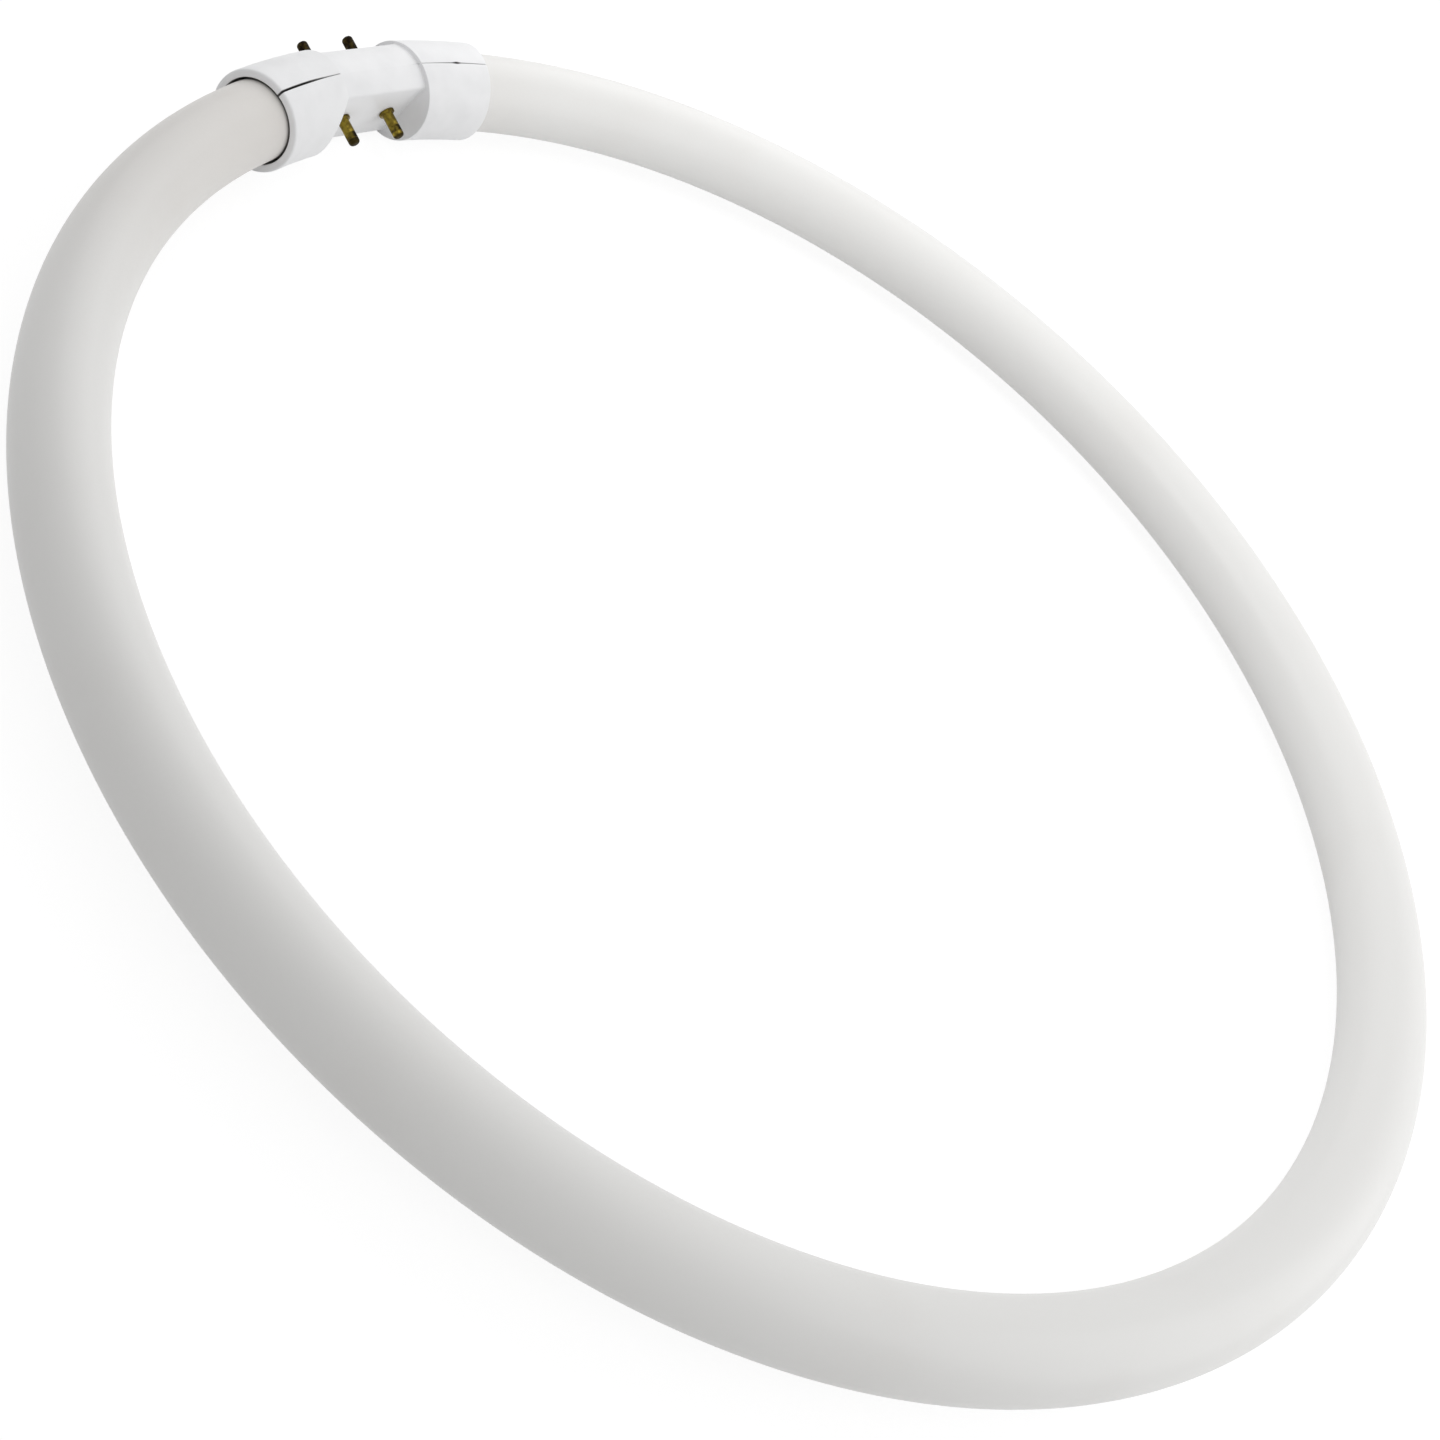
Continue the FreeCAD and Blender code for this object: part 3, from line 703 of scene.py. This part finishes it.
def waist_section(settings, flat, turns):
    """Radius of the waist at each angle from the middle of one flat.

    On the flat it is the flat's distance over the cosine. On the small round it is the far crossing of the
    ray with the round's circle: the middle's share along the ray plus the root of its square, less the
    middle's square, plus the round's square. Beyond it is the radius of the waist.
    """
    across, up = flat_round_middle(settings, flat)
    cosine, sine = np.maximum(np.abs(np.cos(turns)), WELD), np.abs(np.sin(turns))
    share_along = across * cosine + up * sine
    crossing = share_along ** 2 - across ** 2 - up ** 2 + settings.flat_round ** 2
    rounded = share_along + np.sqrt(np.maximum(crossing, 0.0))
    on_flat = sine * flat <= up * cosine
    on_round = ~on_flat & (sine * across <= up * cosine)
    return np.where(on_flat, flat / cosine, np.where(on_round, rounded, settings.waist_radius))


def half_section(radius, turns, side, gap):
    """Across and up of a round section, one half of it held clear of the seam by half the gap."""
    across = side * np.maximum(side * radius * np.cos(turns), gap / 2)
    return across, radius * np.sin(turns)


def outer_skin(settings, side, seam_gap, slope):
    """Grid of the outside of one half, from the mouth to the middle.

    The collar is a round section carried round the ring, with a quarter round at its rim, as far as the plane
    of the step. The waist is carried straight from that plane. Beside the flat the step leans back by the
    slope: its distance grows in proportion to the height above the flat.
    """
    turns = base_turns(settings, side)
    flat = base_flats(settings)[side]
    rim = quarter(RIM_STEPS)[:, None]
    rim_radius = settings.collar_radius - settings.rim_round * (1 - np.sin(rim))
    rim_place = settings.half_length - settings.rim_round * (1 - np.cos(rim))
    rim_across, rim_up = half_section(rim_radius, turns, side, seam_gap)
    rows = [ring_place(rim_place / RING_RADIUS, rim_across, rim_up)]
    share_left = np.linspace(1.0, 0.0, COLLAR_ROWS)[1:, None]
    gap = seam_gap * (SEAM_AT_STEP + (1 - SEAM_AT_STEP) * share_left)
    across, up = half_section(settings.collar_radius, turns, side, gap)
    reach = RING_RADIUS - across * math.cos(BASE_TURN) - up * math.sin(BASE_TURN)
    lean = slope / (2 * settings.collar_radius - settings.waist_radius - flat)
    step_place = settings.waist_half_length + lean * np.maximum(side * across - flat, 0.0)
    step = np.arcsin(step_place / reach)
    swing = step + share_left * (rim_place[-1, 0] / RING_RADIUS - step)
    rows.append(ring_place(swing, across, up))
    across, up = half_section(waist_section(settings, flat, turns), turns, side, 0.0)
    along = np.linspace(settings.waist_half_length, 0.0, WAIST_ROWS)[:, None] + 0 * turns
    rows.append(straight_place(along, across + 0 * along, up + 0 * along))
    return np.concatenate(rows)


def inner_skin(settings, side, count):
    """Grid of the inside of one half, from the mouth to the middle.

    Mouth, land and cavity are each a round bore carried round the ring. The two halves meet along the bore,
    so the seam narrows to nothing inwards.
    """
    turns = base_turns(settings, side)
    land = settings.half_length - settings.mouth_depth
    third = count // 3
    place = np.concatenate([
        np.linspace(settings.half_length, land, third),
        np.linspace(land, settings.web_half_length, third),
        np.linspace(settings.web_half_length, 0.0, count - 2 * third)])[:, None]
    radius = np.repeat([settings.mouth_radius, settings.land_radius, settings.cavity_radius],
                       [third, third, count - 2 * third])[:, None]
    across, up = half_section(radius, turns, side, 0.0)
    return ring_place(place / RING_RADIUS, across, up)


def joined(near, far):
    """Rows from the -Y mouth to the +Y mouth, of two ends that each run from the +Y mouth to the middle."""
    return np.concatenate([near * np.array([1.0, -1.0, 1.0]), far[-2::-1]])


def shell_mesh(settings, side):
    """Points and faces of one closed half of the base: outside, inside, two mouths and two seams."""
    slope = settings.shoulder_slope if side == INNER else 0.0
    far = outer_skin(settings, side, settings.far_seam, 0.0)
    near = outer_skin(settings, side, settings.near_seam, slope)
    outside = joined(near, far)
    inside = inner_skin(settings, side, far.shape[0])
    loop = np.concatenate([outside, joined(inside, inside)[::-1], outside[:1]])
    rows, columns = loop.shape[:2]
    faces = grid_faces(rows, columns)
    length_rows = (rows - 1) // 2
    row = np.arange(length_rows - 1)
    back = rows - 2 - row
    corners = np.stack([row, back, back - 1, row + 1], axis=-1) * columns
    return loop, np.concatenate([faces, corners, corners + columns - 1])


def soften_edges(mesh, settings):
    """Weigh the edges to be softened: those that turn by more than the limit, but not the seam of the waist.

    An edge's turn is the angle between the normals of its two faces. The halves meet flush along the waist,
    so there the edge stays crisp.
    """
    corner_edges = layer(mesh.loops, "edge_index", kind=np.int32)
    corners = layer(mesh.polygons, "loop_total", kind=np.int32)
    by_edge = np.argsort(corner_edges, kind="stable")
    owners = np.repeat(np.arange(corners.size), corners)[by_edge].reshape(-1, 2)
    sides = layer(mesh.polygons, "normal", 3)[owners]
    turned = np.sum(sides[:, 0] * sides[:, 1], axis=-1) < math.cos(EDGE_LIMIT)
    ends = layer(mesh.edges, "vertices", 2, np.int32)
    middle = layer(mesh.vertices, "co", 3)[ends].mean(axis=1)
    on_waist = np.abs(middle[:, 1]) < settings.waist_half_length
    flush = on_waist & (np.abs((middle - BASE_MIDDLE) @ ACROSS) < FLUSH)
    weight = mesh.attributes.new("bevel_weight_edge", "FLOAT", "EDGE")
    weight.data.foreach_set("value", (turned & ~flush).astype(np.float32))
    crisp = mesh.attributes.new("sharp_edge", "BOOLEAN", "EDGE")
    crisp.data.foreach_set("value", turned & flush)


class RINGLAMP_OT_base(bpy.types.Operator):
    """Build the two moulded halves of the base, with soft edges"""
    bl_idname = "ring_lamp.base"
    bl_label = "Base"

    def execute(self, context):
        settings = context.scene.ring_lamp_base
        material = base_plastic(settings)
        for place, side in (("inner", INNER), ("outer", OUTER)):
            points, faces = shell_mesh(settings, side)
            piece = new_piece(f"base_{place}_half", points, faces, material,
                              [f"base_{place}_shell"])
            soften_edges(piece.data, settings)
            bevel = piece.modifiers.new("soft_edges", "BEVEL")
            bevel.width = settings.edge_round
            bevel.segments = BEVEL_SEGMENTS
            bevel.limit_method = "WEIGHT"
            bevel.harden_normals = True
        return {"FINISHED"}


def pin_outline(settings, shank):
    """Heights above the flat and radii of a pin, from the end of its bore, round the shank, to its tip."""
    turn = quarter(PIN_STEPS)
    edge, tip = settings.flange_round, settings.tip_round
    flange, thickness = settings.flange_radius, settings.flange_thickness
    inside = settings.pin_length - settings.end_wall
    barrel = np.linspace(thickness, settings.pin_length - tip, BARREL_ROWS)
    height = np.concatenate([
        [inside, inside, -shank, -shank, 0.0],
        edge * (1 - np.cos(turn)), thickness - edge + edge * np.sin(turn), barrel,
        settings.pin_length - tip + tip * np.sin(turn[1:])])
    radius = np.concatenate([
        [0.0, settings.bore_radius, settings.bore_radius, settings.shank_radius, settings.shank_radius],
        flange - edge + edge * np.sin(turn), flange - edge + edge * np.cos(turn),
        np.full(BARREL_ROWS, settings.pin_radius),
        settings.pin_radius - tip + tip * np.cos(turn[1:])])
    return np.append(height, settings.pin_length), np.append(radius, 0.0)


def pin_points(settings, flat, shank, side, end):
    """Grid of a pin: its outline turned about its axis, pinched from both sides by round jaws.

    The jaws are circles beside the pin, so the distance from the axis on their sides is held below the
    circle's nearest side at that height: its middle less the root of the radius squared less the height
    squared.
    """
    height, radius = pin_outline(settings, shank)
    turn = np.linspace(0.0, 2 * math.pi, PIN_SIDES + 1)
    across_pin = radius[:, None] * np.cos(turn)
    along = radius[:, None] * np.sin(turn)
    jaw = settings.crimp_radius
    inward = np.sqrt(np.maximum(jaw ** 2 - (height - settings.crimp_height) ** 2, 0.0))
    outside = np.arange(height.size) >= SHANK_ROWS
    pinched = settings.pin_radius + jaw - settings.crimp_depth - inward
    limit = np.where((inward > 0) & outside, pinched, np.inf)
    along = np.clip(along, -limit[:, None], limit[:, None])
    axis = side * ACROSS
    seat = BASE_MIDDLE + flat * axis + end * PIN_PLACE * ALONG
    return (seat + height[:, None, None] * axis + along[..., None] * ALONG
            + across_pin[..., None] * np.cross(ALONG, axis))


class RINGLAMP_OT_contact_pins(bpy.types.Operator):
    """Build the four contact pins, with their flanges, crimps and round tips"""
    bl_idname = "ring_lamp.contact_pins"
    bl_label = "Contact pins"

    def execute(self, context):
        settings = context.scene.ring_lamp_pins
        base = context.scene.ring_lamp_base
        flats = base_flats(base)
        material = pin_brass(settings, flats)
        for place, side in (("inner", INNER), ("outer", OUTER)):
            shank = flats[side] - base.cavity_radius + settings.shank_proud
            for position, end in (("near", NEAR), ("far", FAR)):
                points = pin_points(settings, flats[side], shank, side, end)
                new_piece(f"{place}_contact_{position}", points, grid_faces(*points.shape[:2]), material,
                          [f"{place}_pin_{position}"])
        return {"FINISHED"}


class RINGLAMP_OT_lead_wires(bpy.types.Operator):
    """Give the wires inside the base their finish"""
    bl_idname = "ring_lamp.lead_wires"
    bl_label = "Lead wires"

    def execute(self, context):
        material = lead_wire(context.scene.ring_lamp_pins)
        for name, node in frame["nodes"].items():
            if "_lead_" in name:
                node.data.materials.clear()
                node.data.materials.append(material)
        return {"FINISHED"}


def floor_material(settings):
    """Pale matt floor that keeps the shadow; where it is seen, a part of it glows, so that it is white."""
    finish = new_finish("floor")
    seen = finish.seen()
    tone = finish.mix(settings.floor, toned(settings.floor, settings.seen_tone), seen)
    matt = finish.node("ShaderNodeBsdfDiffuse", None, {"Color": tone})
    glow = finish.node("ShaderNodeEmission", None, {"Color": WHITE, "Strength": seen * settings.glow})
    both = finish.node("ShaderNodeAddShader", None, {0: matt, 1: glow})
    finish.node("ShaderNodeOutputMaterial", None, {"Surface": both})
    return finish.owner


def make_floor(settings):
    """A round floor under the part: rings of points whose radius grows from nothing to the floor's."""
    radius = np.linspace(0.0, 1.0, FLOOR_ROWS)[:, None] ** 2 * settings.floor_radius
    turn = np.linspace(0.0, 2 * math.pi, FLOOR_COLUMNS)[None, :]
    level = np.full((FLOOR_ROWS, FLOOR_COLUMNS), CAD_BOX[0].z)
    points = np.stack([radius * np.cos(turn), radius * np.sin(turn), level], axis=-1)
    mesh = bpy.data.meshes.new("floor")
    mesh.from_pydata(points.reshape(-1, 3).tolist(), [], grid_faces(FLOOR_ROWS, FLOOR_COLUMNS).tolist())
    mesh.materials.append(floor_material(settings))
    floor = add_object("floor", mesh)


def make_world(settings):
    """Even light from all round; white where it is seen."""
    world = bpy.data.worlds.new("studio")
    bpy.context.scene.world = world
    finish = Finish(world)
    strength = finish.seen() * (1 - settings.sky) + settings.sky
    light = finish.node("ShaderNodeBackground", None, {"Color": WHITE, "Strength": strength})
    finish.node("ShaderNodeOutputWorld", None, {"Surface": light})


def make_lamp(name, place, target, size, power):
    """A square soft lamp that looks at a target and isn't seen itself."""
    data = bpy.data.lights.new(name, "AREA")
    data.size = size
    data.energy = power
    lamp = add_object(name, data)
    lamp.location = place
    lamp.rotation_mode = "QUATERNION"
    lamp.rotation_quaternion = (Vector(target) - Vector(place)).to_track_quat("-Z", "Y")
    lamp.visible_camera = False


def make_camera(settings):
    """A camera on a sphere about its aim point, turned about its line of sight."""
    data = bpy.data.cameras.new("camera")
    data.lens = settings.lens
    data.shift_x, data.shift_y = settings.shift
    data.clip_start, data.clip_end = CLIP_START, CLIP_END
    level = math.cos(settings.elevation)
    back = Vector((math.sin(settings.azimuth) * level, -math.cos(settings.azimuth) * level,
                   math.sin(settings.elevation)))
    side = (-back).cross(Vector((0.0, 0.0, 1.0))).normalized()
    level_up = side.cross(-back)
    right = side * math.cos(settings.roll) + level_up * math.sin(settings.roll)
    turned = Matrix((right, back.cross(right), back)).transposed()
    camera = add_object("camera", data)
    place = Vector(settings.aim) + back * settings.distance
    camera.matrix_world = Matrix.Translation(place) @ turned.to_4x4()
    bpy.context.scene.camera = camera


class RINGLAMP_OT_stage(bpy.types.Operator):
    """Set up the camera, the floor and the soft light"""
    bl_idname = "ring_lamp.stage"
    bl_label = "Stage"

    def execute(self, context):
        settings = context.scene.ring_lamp_stage
        context.scene.view_settings.view_transform = "Standard"
        make_camera(settings)
        make_floor(settings)
        make_world(settings)
        for name, (place, target, size) in LAMPS.items():
            make_lamp(f"{name}_lamp", place, target, size, getattr(settings, f"{name}_power"))
        return {"FINISHED"}


class RINGLAMP_PT_panel(bpy.types.Panel):
    """The pieces of the ring lamp and its stage"""
    bl_idname = "RINGLAMP_PT_panel"
    bl_label = "Ring lamp"
    bl_space_type = "VIEW_3D"
    bl_region_type = "UI"
    bl_category = "Ring lamp"

    def draw(self, context):
        for operator in OPERATORS:
            self.layout.operator(operator.bl_idname)


SETTINGS = {"ring_lamp_glass": RingLampGlass, "ring_lamp_base": RingLampBase,
            "ring_lamp_pins": RingLampPins, "ring_lamp_stage": RingLampStage}
OPERATORS = (RINGLAMP_OT_glass_ring, RINGLAMP_OT_base, RINGLAMP_OT_contact_pins, RINGLAMP_OT_lead_wires,
             RINGLAMP_OT_stage)


def register():
    for name, group in SETTINGS.items():
        bpy.utils.register_class(group)
        setattr(bpy.types.Scene, name, PointerProperty(type=group))
    for item in (*OPERATORS, RINGLAMP_PT_panel):
        bpy.utils.register_class(item)


def unregister():
    for item in (RINGLAMP_PT_panel, *reversed(OPERATORS)):
        bpy.utils.unregister_class(item)
    for name, group in SETTINGS.items():
        delattr(bpy.types.Scene, name)
        bpy.utils.unregister_class(group)


def main():
    register()
    bpy.ops.ring_lamp.glass_ring()
    bpy.ops.ring_lamp.base()
    bpy.ops.ring_lamp.contact_pins()
    bpy.ops.ring_lamp.lead_wires()
    bpy.ops.ring_lamp.stage()


if __name__ == "__main__":
    main()
